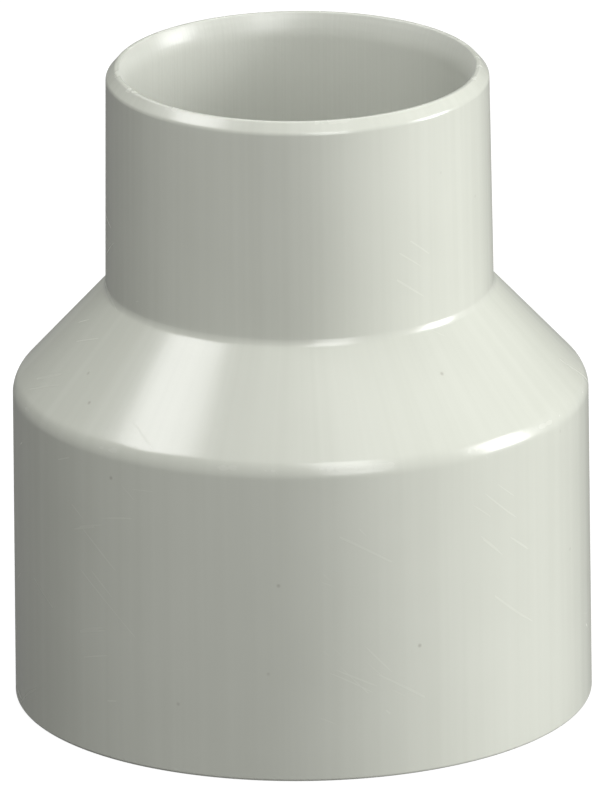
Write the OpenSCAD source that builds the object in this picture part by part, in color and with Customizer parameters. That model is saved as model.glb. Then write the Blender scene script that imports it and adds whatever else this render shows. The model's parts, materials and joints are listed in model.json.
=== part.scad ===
// Concentric reducing socket for solvent-cement pressure pipe: a large socket below, a
// conical shoulder, and a small socket above, all one moulding.
// The origin is the centre of the large mouth, and +Z runs up the flow axis to the small mouth.

/* [Large socket] */
// Bore of the large socket, a close fit on 75 mm pipe
large_bore_d = 75.2; // [73:0.1:77]
// Depth from the large mouth to the stop that the pipe's end meets
large_depth = 44; // [38:0.5:45]
// Outside diameter at the large mouth
large_outer_d = 85; // [84:0.5:88]
// How much smaller the large barrel's radius is at the shoulder, for release from the mould
large_draft = 0.2; // [0:0.05:0.5]
// Width of the lead-in taper at the large mouth, measured across the wall
large_lead_w = 1.3; // [0.6:0.05:2.2]
// Depth of the lead-in taper at the large mouth
large_lead_h = 3; // [2.5:0.1:6]

/* [Small socket] */
// Bore of the small socket, a close fit on 50 mm pipe
small_bore_d = 50.2; // [48:0.1:50.4]
// Depth from the small mouth to the stop that the pipe's end meets
small_depth = 31; // [24:0.5:32]
// Outside diameter at the small mouth
small_outer_d = 56.2; // [56:0.1:60]
// How much larger the small barrel's radius is at the neck, for release from the mould
small_draft = 0.4; // [0:0.05:0.6]
// Width of the lead-in taper at the small mouth, measured across the wall
small_lead_w = 1.05; // [0.6:0.05:1.2]
// Depth of the lead-in taper at the small mouth
small_lead_h = 2.2; // [2:0.1:5]

/* [Length and cone] */
// Length from mouth to mouth
overall_length = 96.1; // [95:0.1:110]
// Height of the corner where the large barrel meets the cone
shoulder_z = 47.8; // [47:0.1:49.3]
// Slope of the cone, up from level
cone_angle = 47.4; // [44:0.1:49]
// Wall of the cone, measured square to it
cone_wall = 4.6; // [4:0.1:5.5]

/* [Flow passage] */
// Passage above the large stop, the bore of the 75 mm pipe
large_throat_d = 67.8; // [64:0.1:70]
// Passage below the small stop, the bore of the 50 mm pipe
small_throat_d = 45.2; // [43:0.1:47]

/* [Edges] */
// Radius of the outer edge at the large mouth
base_round = 0.45; // [0.2:0.05:1.5]
// Radius of the shoulder, where the large barrel turns into the cone
shoulder_round = 3.5; // [1:0.1:5]
// Radius of the hollow where the cone meets the small barrel
neck_round = 1.8; // [0.5:0.1:3]
// Width of the bevel round the outside of the small mouth
rim_bevel_w = 1.3; // [0.8:0.05:1.4]
// Height of that bevel
rim_bevel_h = 1.5; // [1:0.1:3]
// Radius below the bevel, where it meets the small barrel
rim_round = 0.8; // [0.2:0.1:1.2]
// Radius above the bevel, where it meets the flat rim
crest_round = 0.4; // [0.1:0.05:0.5]
// Radius where each mouth's flat rim turns into its lead-in
lip_round = 0.3; // [0.1:0.05:0.35]
// Radius where each lead-in runs out into the bore
lead_blend = 6; // [0.5:0.5:6]
// Radius at the foot of each socket, beside the stop
foot_round = 0.5; // [0.2:0.05:0.6]
// Radius of each stop's inner edge
stop_round = 0.4; // [0.1:0.05:0.5]
// Radius of the bends inside the cone
passage_round = 1.5; // [0.3:0.1:2]

/* [Hidden] */
$fn = 144;

off_white = [0.89, 0.90, 0.84];

// Flats that make up each rounded edge
steps = 8;

large_bore_r = large_bore_d / 2;
large_outer_r = large_outer_d / 2;
shoulder_r = large_outer_r - large_draft;
small_bore_r = small_bore_d / 2;
small_outer_r = small_outer_d / 2;
neck_r = small_outer_r + small_draft;
neck_z = shoulder_z + (shoulder_r - neck_r) * tan(cone_angle);
small_stop_z = overall_length - small_depth;

// Height of the inner face of the cone at radius r, parallel to its outer face.
function passage_z(r) =
    shoulder_z - cone_wall * cos(cone_angle)
    + (shoulder_r - cone_wall * sin(cone_angle) - r) * tan(cone_angle);

function unit(v) = v / norm(v);
function flat2(c) = [c[0], c[1]];
function direction(angle) = [cos(angle), sin(angle)];

// The turn at corner b, coming from a and leaving for c, as points on an arc of radius b[2].
function turned(a, b, c) =
    let (u = unit(flat2(a) - flat2(b)), v = unit(flat2(c) - flat2(b)))
    let (half = acos(u * v) / 2)
    let (centre = flat2(b) + unit(u + v) * b[2] / sin(half))
    let (from = flat2(b) + u * b[2] / tan(half) - centre)
    let (to = flat2(b) + v * b[2] / tan(half) - centre)
    let (start = atan2(from[1], from[0]))
    let (sweep = (atan2(to[1], to[0]) - start + 540) % 360 - 180)
    [for (i = [0:steps]) centre + b[2] * direction(start + sweep * i / steps)];

// Each row is radius, height and the radius of that edge. They run up the outside and down the inside.
corners = [
    [large_outer_r, 0, base_round],
    [shoulder_r, shoulder_z, shoulder_round],
    [neck_r, neck_z, neck_round],
    [small_outer_r, overall_length - rim_bevel_h, rim_round],
    [small_outer_r - rim_bevel_w, overall_length, crest_round],
    [small_bore_r + small_lead_w, overall_length, lip_round],
    [small_bore_r, overall_length - small_lead_h, lead_blend],
    [small_bore_r, small_stop_z, foot_round],
    [small_throat_d / 2, small_stop_z, stop_round],
    [small_throat_d / 2, passage_z(small_throat_d / 2), passage_round],
    [large_throat_d / 2, passage_z(large_throat_d / 2), passage_round],
    [large_throat_d / 2, large_depth, stop_round],
    [large_bore_r, large_depth, foot_round],
    [large_bore_r, large_lead_h, lead_blend],
    [large_bore_r + large_lead_w, 0, lip_round],
];
count = len(corners);
wall = [
    for (i = [0:count - 1])
        each turned(corners[(i + count - 1) % count], corners[i], corners[(i + 1) % count])
];

// The whole fitting is one wall turned about the flow axis.
module reducer_body() {
    color(off_white)
        rotate_extrude()
            polygon(wall);
}

reducer_body();
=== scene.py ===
# %% [markdown]
# # A moulded pipe reducer
# The fitting is one piece of off-white PVC-U, shot in a single mould: a large pipe socket below, a cone,
# and a small pipe socket above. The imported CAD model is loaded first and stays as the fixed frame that
# everything here is measured from. It could be shown as it is, but its triangles are coarse and its skin
# is flat, so a finer wall is turned around it and takes its place. Lengths are in metres, and +Z runs up
# the flow axis.

# %% Load the frame
import json
import math
import bmesh
import bpy
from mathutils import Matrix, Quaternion, Vector


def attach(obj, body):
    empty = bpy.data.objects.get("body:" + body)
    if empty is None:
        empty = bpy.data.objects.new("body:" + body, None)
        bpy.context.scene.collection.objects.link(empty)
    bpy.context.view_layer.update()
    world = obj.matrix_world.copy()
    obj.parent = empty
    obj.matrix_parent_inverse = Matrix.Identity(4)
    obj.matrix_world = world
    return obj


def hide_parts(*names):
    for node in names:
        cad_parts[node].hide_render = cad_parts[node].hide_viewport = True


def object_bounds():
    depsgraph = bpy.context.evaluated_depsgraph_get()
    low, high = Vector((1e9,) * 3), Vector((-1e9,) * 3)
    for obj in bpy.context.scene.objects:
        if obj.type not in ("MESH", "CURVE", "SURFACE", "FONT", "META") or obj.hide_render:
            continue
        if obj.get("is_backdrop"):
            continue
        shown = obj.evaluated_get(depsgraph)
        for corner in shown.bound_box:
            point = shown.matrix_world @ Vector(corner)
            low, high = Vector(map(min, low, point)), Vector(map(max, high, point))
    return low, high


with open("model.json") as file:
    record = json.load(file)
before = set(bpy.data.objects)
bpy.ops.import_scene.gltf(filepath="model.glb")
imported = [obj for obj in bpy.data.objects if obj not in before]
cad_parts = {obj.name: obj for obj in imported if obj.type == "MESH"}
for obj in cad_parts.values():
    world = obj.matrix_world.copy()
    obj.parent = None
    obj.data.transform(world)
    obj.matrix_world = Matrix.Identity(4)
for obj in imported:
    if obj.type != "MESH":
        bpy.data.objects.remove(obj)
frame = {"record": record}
cad_low, cad_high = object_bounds()
MM = 0.001
print("frame in mm", [round(v / MM, 2) for v in (*cad_low, *cad_high)])

# %% [markdown]
# ## The camera
# A small fitting looks truest from several metres away through a very long lens, so that its rims look
# nearly alike at the front and at the back. An orthographic camera would be simpler, but it loses the
# last trace of depth. The camera looks down by about 18 degrees. It is rolled a little about its own line
# of sight, which gives the fitting its slight lean while the model itself stands straight.

# %% Place the camera
look_down = math.radians(18.48)
lean = math.radians(-0.6)
camera_distance = 3.666
view_height = 0.11655
aim_aside = -0.41 * MM
aim_below_middle = 2.95 * MM
aim = Vector((aim_aside, 0, cad_high.z / 2 - aim_below_middle))
back = Vector((0, -math.cos(look_down), math.sin(look_down)))

camera = bpy.data.objects.new("camera", bpy.data.cameras.new("camera"))
bpy.context.scene.collection.objects.link(camera)
camera.location = aim + back * camera_distance
camera.rotation_mode = "QUATERNION"
camera.rotation_quaternion = Quaternion(back, lean) @ (-back).to_track_quat("-Z", "Y")
camera.data.sensor_width = 36
camera.data.lens = camera.data.sensor_width * camera_distance / view_height
camera.data.clip_end = 50
bpy.context.scene.camera = camera
print("lens in mm", round(camera.data.lens))

# %% [markdown]
# ## The section of the wall
# A draughtsman draws half of the section first, with sharp corners. The two bores come from the frame's
# own mounts and the length from its box, so the wall always fits the CAD model. Each barrel leans by a
# few tenths of a millimetre, so that the moulding leaves its mould. The inner face of the cone runs
# parallel to the outer one, and its height at any radius is worked out by a short function, not measured.

# %% Sizes of the section
bores = {m["name"]: m["dims"]["r_mm"] * MM for m in frame["record"]["mounts"] if m["kind"] == "bore"}
large_bore = bores["large_socket"]
small_bore = bores["small_socket"]
length = cad_high.z
large_outer = 42.5 * MM
shoulder_outer = 42.3 * MM
neck_outer = 28.5 * MM
small_outer = 28.1 * MM
shoulder_z = 47.8 * MM
cone_slope = math.radians(47.4)
neck_z = shoulder_z + (shoulder_outer - neck_outer) * math.tan(cone_slope)
large_stop = 44 * MM
small_depth = 31 * MM
small_stop = length - small_depth
large_throat = 33.9 * MM
small_throat = 22.6 * MM
cone_wall = 4.6 * MM


def passage_z(radius):
    """Height of the cone's inner face at this radius, one wall thickness inside its outer face."""
    start_z = shoulder_z - cone_wall * math.cos(cone_slope)
    start_radius = shoulder_outer - cone_wall * math.sin(cone_slope)
    return start_z + (start_radius - radius) * math.tan(cone_slope)


print("cone in mm, shoulder", round(shoulder_z / MM, 2), "neck", round(neck_z / MM, 2))

# %% [markdown]
# ## The corners
# The outline has fifteen corners: five up the outside, which ends in a bevel round the small mouth, and
# ten down the inside, through the lead-in, bore and stop of each socket. Beside each corner stands the
# radius that its edge is rounded to. A mould is cut with a real radius on every edge, and those radii are
# what catches the light along the rim, the shoulder and the neck, so they are as much a part of the shape
# as the walls are.

# %% Bevel and lead-ins
bevel_width = 1.3 * MM
bevel_height = 1.5 * MM
small_lead_width = 1.05 * MM
small_lead_depth = 2.2 * MM
large_lead_width = 1.3 * MM
large_lead_depth = 3 * MM
print("flat rim of the small mouth in mm",
      round((small_outer - bevel_width - small_bore - small_lead_width) / MM, 2))

# %% Radius of each rounding
base_round = 0.45 * MM
shoulder_round = 3.5 * MM
neck_round = 1.8 * MM
rim_round = 0.8 * MM
crest_round = 0.4 * MM
lip_round = 0.3 * MM
lead_blend = 6 * MM
foot_round = 0.5 * MM
stop_round = 0.4 * MM
bend_round = 1.5 * MM
print("sharpest rounding in mm", round(lip_round / MM, 2), "softest", round(lead_blend / MM, 2))

# %% List the corners
corners = [
    (large_outer, 0, base_round),
    (shoulder_outer, shoulder_z, shoulder_round),
    (neck_outer, neck_z, neck_round),
    (small_outer, length - bevel_height, rim_round),
    (small_outer - bevel_width, length, crest_round),
    (small_bore + small_lead_width, length, lip_round),
    (small_bore, length - small_lead_depth, lead_blend),
    (small_bore, small_stop, foot_round),
    (small_throat, small_stop, stop_round),
    (small_throat, passage_z(small_throat), bend_round),
    (large_throat, passage_z(large_throat), bend_round),
    (large_throat, large_stop, stop_round),
    (large_bore, large_stop, foot_round),
    (large_bore, large_lead_depth, lead_blend),
    (large_bore + large_lead_width, 0, lip_round),
]
OUTSIDE_CORNERS = 5
print("corners", len(corners))

# %% [markdown]
# ## Turning the wall
# A round part can be bent up by a Screw modifier, or cut from a cylinder. Here the corners are joined
# into a closed outline and spun about the flow axis, as on a lathe, which leaves one ring of edges at
# each corner. The spin closes on itself and its last ring is merged with its first, so there is no seam.
# Every band of faces is marked as outside or inside straight away, while each one still lies between two
# known corners.

# %% Spin the outline
AROUND = 288
MATCH = 0.01 * MM
mesh = bmesh.new()
outline = [mesh.verts.new((radius, 0, z)) for radius, z, _ in corners]
loop = [mesh.edges.new((outline[i - 1], outline[i])) for i in range(len(outline))]
bmesh.ops.spin(mesh, geom=outline + loop, cent=(0, 0, 0), axis=(0, 0, 1), dvec=(0, 0, 0),
               angle=2 * math.pi, steps=AROUND, use_merge=True)
print("sharp wall", len(mesh.faces), "faces")


# %% Mark the inside
def on_ring(vertex, i):
    """Whether this vertex lies on the ring that corner i was turned into."""
    radius, z, _ = corners[i]
    return abs(vertex.co.xy.length - radius) < MATCH and abs(vertex.co.z - z) < MATCH


inside_rings = range(OUTSIDE_CORNERS, len(corners))
for face in mesh.faces:
    inside = all(any(on_ring(v, i) for i in inside_rings) for v in face.verts)
    face.material_index = int(inside)
print("inside faces", sum(f.material_index for f in mesh.faces))

# %% [markdown]
# ## Rounding the edges
# One Bevel modifier would give every edge the same width. Each ring is bevelled by itself instead, to its
# own radius. A bevel's offset is how far it reaches along the faces beside the edge, which is the radius
# divided by the tangent of half the angle between them. A sharper turn gets more segments, one for every
# 6 degrees and never fewer than four.

# %% Round each ring
ARC_STEP = math.radians(6)
FEWEST_SEGMENTS = 4


def half_angle(i):
    """Half the angle between the two sides of the outline that meet at corner i."""
    before, here, after = (Vector(corners[k % len(corners)][:2]) for k in (i - 1, i, i + 1))
    return (before - here).angle(after - here) / 2


def reach(i):
    """How far the rounding of corner i runs along each side."""
    return corners[i][2] / math.tan(half_angle(i))


for i in range(len(corners)):
    ring = [e for e in mesh.edges if on_ring(e.verts[0], i) and on_ring(e.verts[1], i)]
    turn = math.pi - 2 * half_angle(i)
    bmesh.ops.bevel(mesh, geom=ring, offset=reach(i), offset_type="OFFSET",
                    segments=max(FEWEST_SEGMENTS, round(turn / ARC_STEP)), profile=0.5,
                    affect="EDGES", material=-1, clamp_overlap=False)
print("rounded wall", len(mesh.faces), "faces")

# %% [markdown]
# ## Keeping the flats flat
# Smooth shading averages the direction of neighbouring faces. On a long face beside a small rounding that
# average smears the highlight over the whole flat. Auto smooth or weighted normals would be one cure.
# Here each flat is cut once just past its rounding, so the averaging ends there, and that holds in every
# program that the mesh is taken to. A level side, such as a stop, has no other height to be cut at and
# does without.

# %% Cut beside each rounding
SUPPORT = 0.35 * MM
LEVEL = SUPPORT / 4
CUT_TOLERANCE = MATCH / 10
cuts = []
for i, (radius, z, _) in enumerate(corners):
    here = Vector((radius, z))
    for k in (i - 1, i + 1):
        side = Vector(corners[k % len(corners)][:2]) - here
        height = z + side.normalized().y * (reach(i) + SUPPORT)
        if abs(height - z) > LEVEL:
            cuts.append(height)

for height in sorted(cuts):
    everything = mesh.verts[:] + mesh.edges[:] + mesh.faces[:]
    bmesh.ops.bisect_plane(mesh, geom=everything, dist=CUT_TOLERANCE, plane_co=(0, 0, height),
                           plane_no=(0, 0, 1))
bmesh.ops.recalc_face_normals(mesh, faces=mesh.faces)
volume = mesh.calc_volume(signed=True) / (10 * MM) ** 3
open_edges = sum(not e.is_manifold for e in mesh.edges)
print("cuts", len(cuts), "volume in cm3", round(volume, 2), "open edges", open_edges)

# %% [markdown]
# ## The finished piece
# The bmesh becomes an ordinary mesh object at the origin, unturned and unscaled, as the CAD's own nodes
# are. It rides on the one body of the part and stands for the CAD node, which is hidden.

# %% Make the piece
wall = bpy.data.meshes.new("reducer_wall")
mesh.to_mesh(wall)
mesh.free()
wall.shade_smooth()
reducer = bpy.data.objects.new("reducer_wall", wall)
bpy.context.scene.collection.objects.link(reducer)
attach(reducer, "root")
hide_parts("reducer_body")
print("triangles", sum(len(p.vertices) - 2 for p in wall.polygons))

# %% [markdown]
# ## Helpers for the shader nodes
# Nodes can be wired one line at a time, but the wiring then hides the idea. The first helper adds a node
# and fills its inputs, with a number or with another node's output. The second starts a node group with
# named sockets. A group is built once, and each material places it with values of its own.


# %% Node helpers
def node(tree, kind, inputs, **settings):
    """Adds a shader node with these settings, and sets or links each of its inputs."""
    made = tree.nodes.new("ShaderNode" + kind)
    for name, value in settings.items():
        setattr(made, name, value)
    for socket, value in inputs.items():
        if isinstance(value, bpy.types.NodeSocket):
            tree.links.new(value, made.inputs[socket])
        else:
            made.inputs[socket].default_value = value
    return made


def new_group(name, inputs, outputs):
    """Starts a node group. Gives the group, the sockets that come in and the sockets that go out."""
    group = bpy.data.node_groups.new(name, "ShaderNodeTree")
    for direction, sockets in (("INPUT", inputs), ("OUTPUT", outputs)):
        for socket, kind in sockets.items():
            group.interface.new_socket(socket, in_out=direction, socket_type="NodeSocket" + kind)
    return group, group.nodes.new("NodeGroupInput").outputs, group.nodes.new("NodeGroupOutput").inputs


def math_node(tree, operation, first, second=0.0):
    """The result of one sum on two values."""
    return node(tree, "Math", {0: first, 1: second}, operation=operation).outputs[0]


def soft_step(tree, value, low, high, to_low=0.0, to_high=1.0):
    """Turns a value into a mask that rises smoothly from to_low to to_high between low and high."""
    inputs = {"Value": value, "From Min": low, "From Max": high, "To Min": to_low, "To Max": to_high}
    return node(tree, "MapRange", inputs, interpolation_type="SMOOTHSTEP").outputs["Result"]


print("helpers", [helper.__name__ for helper in (node, new_group, math_node, soft_step)])

# %% [markdown]
# ## How the melt filled the mould
# Molten PVC enters at one place and runs up the wall, and what it leaves is barely there: a cloudiness of
# the colour, faint streaks along the flow, a shallow waviness from shrinking, and a fine orange peel from
# the mould's polish. A streak runs along the axis, so its noise reads the direction from the axis, which
# closes round the wall without a seam, and only a little of the height.

# %% Group for the moulded texture
group, given, result = new_group(
    "mould_flow",
    {"Position": "Vector", "Streaks": "Float", "Wave Share": "Float"},
    {"Tint": "Float", "Height": "Float"},
)
CLOUDS_PER_METRE = 38
WAVES_PER_METRE = 85
PEEL_PER_METRE = 1100
STREAK_STRETCH = 9
STREAKS_IN_TINT = 0.45
STREAKS_IN_RELIEF = 0.5
TINT_RANGE = (0.3, 0.7)
clouds = node(group, "TexNoise", {"Vector": given["Position"], "Scale": CLOUDS_PER_METRE, "Detail": 3})
flat = node(group, "VectorMath", {0: given["Position"], 1: (1, 1, 0)}, operation="MULTIPLY")
outward = node(group, "VectorMath", {0: flat.outputs[0]}, operation="NORMALIZE")
spread = node(group, "VectorMath", {0: outward.outputs[0], "Scale": given["Streaks"]}, operation="SCALE")
upward = node(group, "VectorMath", {0: given["Position"], 1: (0, 0, STREAK_STRETCH)}, operation="MULTIPLY")
along = node(group, "VectorMath", {0: spread.outputs[0], 1: upward.outputs[0]}, operation="ADD")
streaks = node(group, "TexNoise", {"Vector": along.outputs[0], "Scale": 1, "Detail": 4})
uneven = {"Factor": STREAKS_IN_TINT, "A": clouds.outputs["Fac"], "B": streaks.outputs["Fac"]}
tint = node(group, "Mix", uneven)
group.links.new(soft_step(group, tint.outputs["Result"], *TINT_RANGE), result["Tint"])

waves = node(group, "TexNoise", {"Vector": given["Position"], "Scale": WAVES_PER_METRE, "Detail": 1})
peel = node(group, "TexNoise", {"Vector": given["Position"], "Scale": PEEL_PER_METRE, "Detail": 2})
lines = {"Factor": STREAKS_IN_RELIEF, "A": peel.outputs["Fac"], "B": streaks.outputs["Fac"]}
fine = node(group, "Mix", lines)
blend = {"Factor": given["Wave Share"], "A": fine.outputs["Result"], "B": waves.outputs["Fac"]}
height = node(group, "Mix", blend)
group.links.new(height.outputs["Result"], result["Height"])
mould_flow = group
print("group", group.name, "nodes", len(group.nodes))

# %% [markdown]
# ## Specks in the plastic
# A few scorched grains end up in any light-coloured moulding, each a quarter of a millimetre or so
# across. A Voronoi texture scatters points through the volume, and the skin only shows those that it
# happens to cut, so the specks come out rare and uneven in size, as they are on the real wall.

# %% Group for the specks
group, given, result = new_group(
    "scorched_specks",
    {"Position": "Vector", "Cells Per Metre": "Float", "Size In Cells": "Float"},
    {"Mask": "Float"},
)
cells = node(group, "TexVoronoi", {"Vector": given["Position"], "Scale": given["Cells Per Metre"]})
speck = soft_step(group, cells.outputs["Distance"], given["Size In Cells"], 0)
group.links.new(speck, result["Mask"])
scorched_specks = group
print("group", group.name, "nodes", len(group.nodes))

# %% [markdown]
# ## Scuffs from handling
# Fittings travel loose in a box and rub against each other, which leaves hairlines that run any way and
# only dull the gloss. A noise that is squeezed hard along one axis makes hairlines. Two such layers cross
# each other, and a broad noise lets them show in patches only.

# %% Group for the scuffs
group, given, result = new_group(
    "handling_scuffs",
    {"Position": "Vector", "Threshold": "Float"},
    {"Mask": "Float"},
)
HAIR_SQUEEZE = (1500, 45, 45)
HAIR_TURNS = ((0.5, 0.7, 0.3), (-0.8, 0.4, 1.9))
HAIR_EDGE = 0.05
SCUFFED_PATCHES_PER_METRE = 55
SCUFFED_RANGE = (0.5, 0.65)
layers = []
for turn in HAIR_TURNS:
    turned = node(group, "Mapping", {"Vector": given["Position"], "Rotation": turn}, vector_type="POINT")
    squeezed = node(group, "VectorMath", {0: turned.outputs[0], 1: HAIR_SQUEEZE}, operation="MULTIPLY")
    hairs = node(group, "TexNoise", {"Vector": squeezed.outputs[0], "Scale": 1, "Detail": 1})
    high_side = math_node(group, "ADD", given["Threshold"], HAIR_EDGE)
    layers.append(soft_step(group, hairs.outputs["Fac"], given["Threshold"], high_side))
either = math_node(group, "MAXIMUM", layers[0], layers[1])
spots = {"Vector": given["Position"], "Scale": SCUFFED_PATCHES_PER_METRE, "Detail": 2}
patches = node(group, "TexNoise", spots)
where = soft_step(group, patches.outputs["Fac"], *SCUFFED_RANGE)
group.links.new(math_node(group, "MULTIPLY", either, where), result["Mask"])
handling_scuffs = group
print("group", group.name, "nodes", len(group.nodes))

# %% [markdown]
# ## Rubbed edges
# The rims and the shoulder stand proud, so they meet the bench and the other fittings first. Their gloss
# goes before anything else does. An edge mask is often read from the mesh's pointiness, but on a turned
# part the proud edges lie at known heights, so the mask is a band about such a height, broken up by a
# noise.

# %% Group for the rubbed edges
group, given, result = new_group(
    "rubbed_edge",
    {"Position": "Vector", "Edge Height": "Float", "Band": "Float"},
    {"Mask": "Float"},
)
RUBS_PER_METRE = 240
RUBBED_RANGE = (0.45, 0.68)
level = node(group, "SeparateXYZ", {0: given["Position"]}).outputs["Z"]
distance = math_node(group, "ABSOLUTE", math_node(group, "SUBTRACT", level, given["Edge Height"]))
near = soft_step(group, distance, given["Band"], 0)
patchy = node(group, "TexNoise", {"Vector": given["Position"], "Scale": RUBS_PER_METRE, "Detail": 4})
broken = soft_step(group, patchy.outputs["Fac"], *RUBBED_RANGE)
group.links.new(math_node(group, "MULTIPLY", near, broken), result["Mask"])
rubbed_edge = group
print("group", group.name, "nodes", len(group.nodes))

# %% [markdown]
# ## The two skins of the plastic
# Both sides of the wall are the same off-white plastic, but their moulds differ. The outside came off a
# polished cavity and has a satin gloss. The inside was drawn off a steel core, so it is duller and carries
# finer lines along the axis. Its colour is also set a shade darker, which is painted shade for the deep
# bores. One function builds both, with a value for each way that they differ. The strength of the gloss
# stays on the shader, whose IOR is that of PVC.

# %% Colours of both skins
OUTER_PALE = (0.722, 0.741, 0.662, 1)
OUTER_DEEP = (0.682, 0.701, 0.622, 1)
# The inside colours are a shade darker than the outside ones. This is painted shade for the bores, not a
# different plastic.
INNER_PALE_PAINTED_SHADE = (0.690, 0.706, 0.645, 1)
INNER_DEEP_PAINTED_SHADE = (0.655, 0.670, 0.610, 1)
WORN = (0.78, 0.79, 0.73, 1)
SCORCHED = (0.23, 0.21, 0.16, 1)
print("pale outside", OUTER_PALE[:3], "pale inside", INNER_PALE_PAINTED_SHADE[:3])

# %% [markdown]
# A Mix node holds number, vector and colour sockets side by side under the same names, so the colour ones
# have to be picked by their place in the list.

# %% Laying one colour over another
COLOUR_A = 6
COLOUR_B = 7
MIXED_COLOUR = 2


def colour_mix(tree, mask, first, second):
    """Lays the second colour over the first where the mask is high."""
    inputs = {0: mask, COLOUR_A: first, COLOUR_B: second}
    return node(tree, "Mix", inputs, data_type="RGBA").outputs[MIXED_COLOUR]


print("helper", colour_mix.__name__)

# %% [markdown]
# The patterns meet in one function. The colour starts clean, is paler where an edge is rubbed and is dark
# at a speck. Rubbed edges and scuffs are duller than the rest, and the relief of the mould goes in as a
# bump.

# %% Build a skin
PVC_IOR = 1.53
RELIEF = 0.06 * MM
WORN_BAND = 0.9 * MM
SPECK_CELLS_PER_METRE = 110
SPECK_SIZE = 0.05
SCUFF_THRESHOLD = 0.68
WORN_IN_COLOUR = 0.2
SPECK_IN_COLOUR = 0.4
GLOSS_DRIFT = 0.015
DULLING = 0.12


def skin(name, deep, pale, gloss, streaks, wave_share, worn_heights):
    """A material for one side of the wall. Gloss is its roughness where it is clean and new."""
    material = bpy.data.materials.new(name)
    material.use_nodes = True
    tree = material.node_tree
    shader = tree.nodes["Principled BSDF"]
    shader.inputs["IOR"].default_value = PVC_IOR
    at = node(tree, "TexCoord", {}).outputs["Object"]

    flow = node(tree, "Group", {}, node_tree=mould_flow)
    tree.links.new(at, flow.inputs["Position"])
    flow.inputs["Streaks"].default_value = streaks
    flow.inputs["Wave Share"].default_value = wave_share
    specks = node(tree, "Group", {}, node_tree=scorched_specks)
    tree.links.new(at, specks.inputs["Position"])
    specks.inputs["Cells Per Metre"].default_value = SPECK_CELLS_PER_METRE
    specks.inputs["Size In Cells"].default_value = SPECK_SIZE
    scuffs = node(tree, "Group", {}, node_tree=handling_scuffs)
    tree.links.new(at, scuffs.inputs["Position"])
    scuffs.inputs["Threshold"].default_value = SCUFF_THRESHOLD

    worn = 0.0
    for edge_height in worn_heights:
        edge = node(tree, "Group", {}, node_tree=rubbed_edge)
        tree.links.new(at, edge.inputs["Position"])
        edge.inputs["Edge Height"].default_value = edge_height
        edge.inputs["Band"].default_value = WORN_BAND
        worn = math_node(tree, "MAXIMUM", edge.outputs["Mask"], worn)

    clean = colour_mix(tree, flow.outputs["Tint"], deep, pale)
    paler = math_node(tree, "MULTIPLY", worn, WORN_IN_COLOUR)
    rubbed = colour_mix(tree, paler, clean, WORN)
    darker = math_node(tree, "MULTIPLY", specks.outputs["Mask"], SPECK_IN_COLOUR)
    speckled = colour_mix(tree, darker, rubbed, SCORCHED)
    tree.links.new(speckled, shader.inputs["Base Color"])

    cloudy = soft_step(tree, flow.outputs["Tint"], 0, 1, gloss - GLOSS_DRIFT, gloss + GLOSS_DRIFT)
    dull = math_node(tree, "MAXIMUM", worn, scuffs.outputs["Mask"])
    dulled = math_node(tree, "ADD", cloudy, math_node(tree, "MULTIPLY", dull, DULLING))
    tree.links.new(dulled, shader.inputs["Roughness"])
    bump = node(tree, "Bump", {"Height": flow.outputs["Height"], "Strength": 1, "Distance": RELIEF})
    tree.links.new(bump.outputs["Normal"], shader.inputs["Normal"])
    print("material", name, "nodes", len(tree.nodes))
    return material


# %% [markdown]
# ## Dressing the wall
# The outside takes the first material and the inside the second, in the order that the faces were marked
# in.

# %% Put the skins on
outer_skin = skin("moulded_skin", OUTER_DEEP, OUTER_PALE, gloss=0.2, streaks=22, wave_share=0.75,
                  worn_heights=(0, shoulder_z, length))
inner_skin_painted_shade = skin("socket_skin_painted_shade", INNER_DEEP_PAINTED_SHADE, INNER_PALE_PAINTED_SHADE, gloss=0.3, streaks=70, wave_share=0.45,
                  worn_heights=(0, length))
wall.materials.append(outer_skin)
wall.materials.append(inner_skin_painted_shade)
print("materials on the wall", [m.name for m in wall.materials])

# %% [markdown]
# ## The studio lights
# White plastic shows its shape by what it mirrors, so the lights are large soft boxes with dark gaps
# between them, all a metre away. The left box stands high at the side and draws the bright streak down
# the cone, and a dim narrow one behind it softens the streak's outer edge. The right box lights the right
# half of both barrels, the front ones lift the shaded middle, and the top one fills the mouth. The back
# one only keeps the far side from going black when it is looked at.

# %% Set up the soft boxes
BOX_DISTANCE = 1.0


def softbox(name, azimuth, elevation, size, radiance, roll=0.0):
    """A rectangular lamp that faces the fitting. Azimuth 0 is the camera's side, and +X is at 90."""
    a = math.radians(azimuth)
    e = math.radians(elevation)
    way = Vector((math.sin(a) * math.cos(e), -math.cos(a) * math.cos(e), math.sin(e)))
    lamp = bpy.data.lights.new(name, "AREA")
    lamp.shape = "RECTANGLE"
    lamp.size, lamp.size_y = size
    lamp.energy = radiance * math.pi * size[0] * size[1]
    holder = bpy.data.objects.new(name, lamp)
    bpy.context.scene.collection.objects.link(holder)
    holder.location = Vector((0, 0, length / 2)) + way * BOX_DISTANCE
    holder.rotation_mode = "QUATERNION"
    holder.rotation_quaternion = Quaternion(way, math.radians(roll)) @ way.to_track_quat("Z", "Y")
    print("soft box", name, "watts", round(lamp.energy, 2))


softbox("left_box", azimuth=-86, elevation=52.5, size=(0.43, 0.40), radiance=7.1, roll=-17)
softbox("left_edge_box", azimuth=-106, elevation=46, size=(0.12, 0.40), radiance=1.0, roll=-17)
softbox("front_box", azimuth=20, elevation=40, size=(0.36, 0.60), radiance=5.6)
softbox("front_low_box", azimuth=21, elevation=12, size=(0.40, 0.30), radiance=4.5)
softbox("right_box", azimuth=87, elevation=13, size=(0.40, 0.60), radiance=11.2)
softbox("top_box", azimuth=0, elevation=88, size=(0.90, 0.90), radiance=0.45)
softbox("back_box", azimuth=180, elevation=50, size=(0.80, 0.60), radiance=2.0)

# %% [markdown]
# ## The backdrop
# Behind the fitting everything is plain white, and a world colour does that with no backdrop to model.
# The camera alone sees it: a white world all round would also light the fitting from everywhere and wash
# the shape out, so for every other ray it is black.

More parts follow.
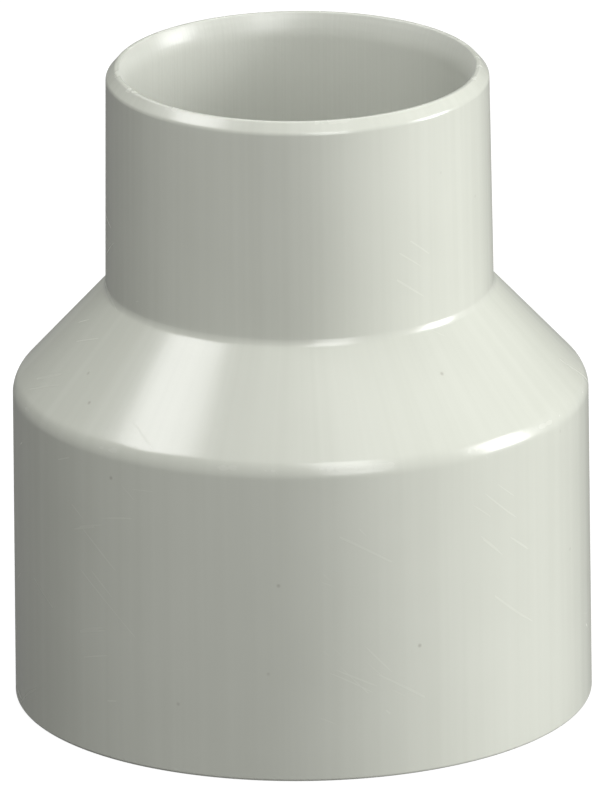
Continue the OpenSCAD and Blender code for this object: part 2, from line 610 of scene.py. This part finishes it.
# %% Make the world
world = bpy.data.worlds.new("studio")
bpy.context.scene.world = world
world.use_nodes = True
sky = world.node_tree.nodes["Background"]
sky.inputs["Color"].default_value = (1, 1, 1, 1)
seen = world.node_tree.nodes.new("ShaderNodeLightPath").outputs["Is Camera Ray"]
world.node_tree.links.new(seen, sky.inputs["Strength"])
bpy.context.scene.view_settings.view_transform = "Standard"
print("world", world.name)

# %% [markdown]
# ## The floor
# The floor is a sheet of white paper, burnt out to pure white except for a breath of shadow at the foot.
# Towards the camera it is mostly its own light with a little diffuse white, which alone takes the shadow.
# To the fitting it is a faint even glow, because wide bright paper would light it far more than a table
# in a dark studio does. From below it is clear, so that the large mouth can be looked into.

# %% Lay the floor
FLOOR_HALF_WIDTH = 3
sheet = bmesh.new()
bmesh.ops.create_grid(sheet, x_segments=1, y_segments=1, size=FLOOR_HALF_WIDTH)
ground = bpy.data.meshes.new("floor")
sheet.to_mesh(ground)
sheet.free()
floor = bpy.data.objects.new("floor", ground)
bpy.context.scene.collection.objects.link(floor)
floor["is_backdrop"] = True
print("floor width in m", 2 * FLOOR_HALF_WIDTH)

# %% Paper for the floor
PAPER_WHITE = (0.95, 0.95, 0.95, 1)
BURNT_OUT_STRENGTH = 1.15
GLOW_STRENGTH = 0.16
SHADOW_SHARE = 0.22
paper = bpy.data.materials.new("white_paper")
paper.use_nodes = True
tree = paper.node_tree
tree.nodes.clear()
matt = node(tree, "BsdfDiffuse", {"Color": PAPER_WHITE})
burnt_out = node(tree, "Emission", {"Strength": BURNT_OUT_STRENGTH})
glow = node(tree, "Emission", {"Strength": GLOW_STRENGTH})
clear = node(tree, "BsdfTransparent", {})
path = node(tree, "LightPath", {})
side = node(tree, "NewGeometry", {})
shown = node(tree, "MixShader", {0: SHADOW_SHARE, 1: burnt_out.outputs[0], 2: matt.outputs[0]})
lit = node(tree, "MixShader", {0: path.outputs["Is Camera Ray"], 1: glow.outputs[0], 2: shown.outputs[0]})
faced = node(tree, "MixShader", {0: side.outputs["Backfacing"], 1: lit.outputs[0], 2: clear.outputs[0]})
node(tree, "OutputMaterial", {"Surface": faced.outputs[0]})
ground.materials.append(paper)
print("material", paper.name, "nodes", len(tree.nodes))

# %% [markdown]
# ## Sizes and finish
# The wall may not outgrow the CAD model that it stands for, so the last lines also print how far it
# reaches past. Its finer rings come nearer to a true circle than the CAD's own triangles do, which is
# worth a hundredth of a millimetre.

# %% Compare the boxes
model_low, model_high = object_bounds()
grown = max(*(cad_low - model_low), *(model_high - cad_high))
print("visual model beyond the CAD box in mm", round(grown / MM, 3))
